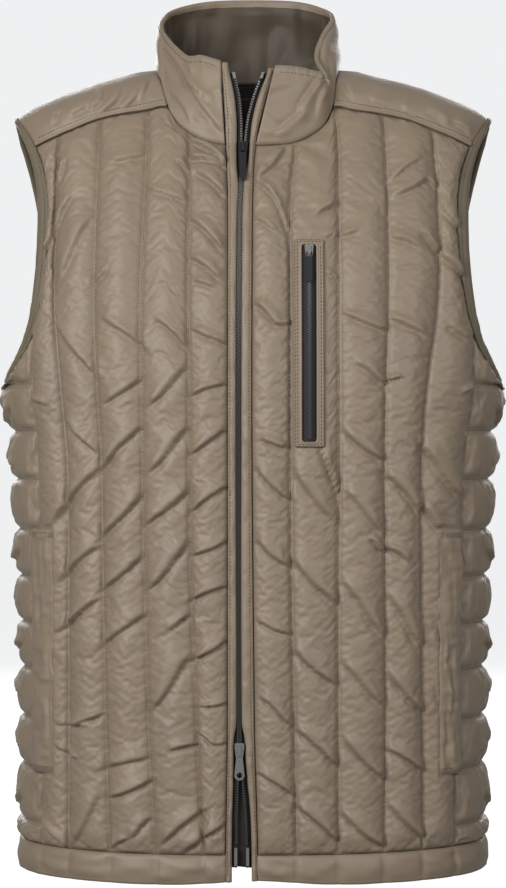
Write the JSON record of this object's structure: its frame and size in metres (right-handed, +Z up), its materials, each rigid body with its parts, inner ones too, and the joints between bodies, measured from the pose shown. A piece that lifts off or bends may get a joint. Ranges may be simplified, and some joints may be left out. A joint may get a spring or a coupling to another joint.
{
  "type": "quilted vest, worn form",
  "caption": "Sleeveless quilted vest with stand collar, full front zip, zipped chest pocket and welt hand pockets, filled out as worn.",
  "frame": {"origin": "midway between the two points where the neck meets the shoulders, which rest on the wearer", "axes": "+Z up, -Y towards the vest's front, +X towards the wearer's left"},
  "size_m": [0.4411, 0.2654, 0.7672],
  "materials": {
    "shell": "woven nylon with a soft sheen, olive taupe",
    "binding": "woven nylon, darker olive",
    "lining": "smooth dark lining cloth",
    "zip_tape": "black woven zip tape",
    "bright_metal": "bright nickel plate",
    "black_metal": "black enamel"
  },
  "bodies": {
    "vest": {"front_right": "shell", "front_left": "shell", "back": "shell", "side_right": "shell", "side_left": "shell", "yoke_right": "shell", "yoke_left": "shell", "piping_right": "shell", "piping_left": "shell", "collar": "shell", "hem_band": "shell", "placket_right": "shell", "placket_left": "shell", "armhole_binding_right": "binding", "armhole_binding_left": "binding", "lining_back": "lining", "zip_tape_right": "zip_tape", "zip_tape_left": "zip_tape", "top_stop_right": "bright_metal", "top_stop_left": "bright_metal", "zip_box": "bright_metal", "zip_pin": "bright_metal", "upper_slider": "black_metal", "lower_slider": "bright_metal", "pocket_frame": "shell", "pocket_zip": "zip_tape", "pocket_slider": "bright_metal", "pocket_welt_right": "shell", "pocket_welt_left": "shell"},
    "upper_pull": {"upper_pull": "black_metal"},
    "lower_pull": {"lower_pull": "bright_metal"},
    "pocket_pull": {"pocket_pull": "black_metal"}
  },
  "joints": [
    {"name": "upper_pull_swing", "type": "hinge", "parent": "vest", "child": "upper_pull", "pos_m": [-0.00849, -0.09322, -0.0823], "axis": [-1, 0, 0], "range_deg": [0, 120]},
    {"name": "lower_pull_swing", "type": "hinge", "parent": "vest", "child": "lower_pull", "pos_m": [-0.01117, -0.1416, -0.58589], "axis": [-1, 0, 0], "range_deg": [0, 120]},
    {"name": "pocket_pull_swing", "type": "hinge", "parent": "vest", "child": "pocket_pull", "pos_m": [0.04652, -0.12941, -0.17238], "axis": [-1, 0, 0], "range_deg": [0, 120]}
  ]
}
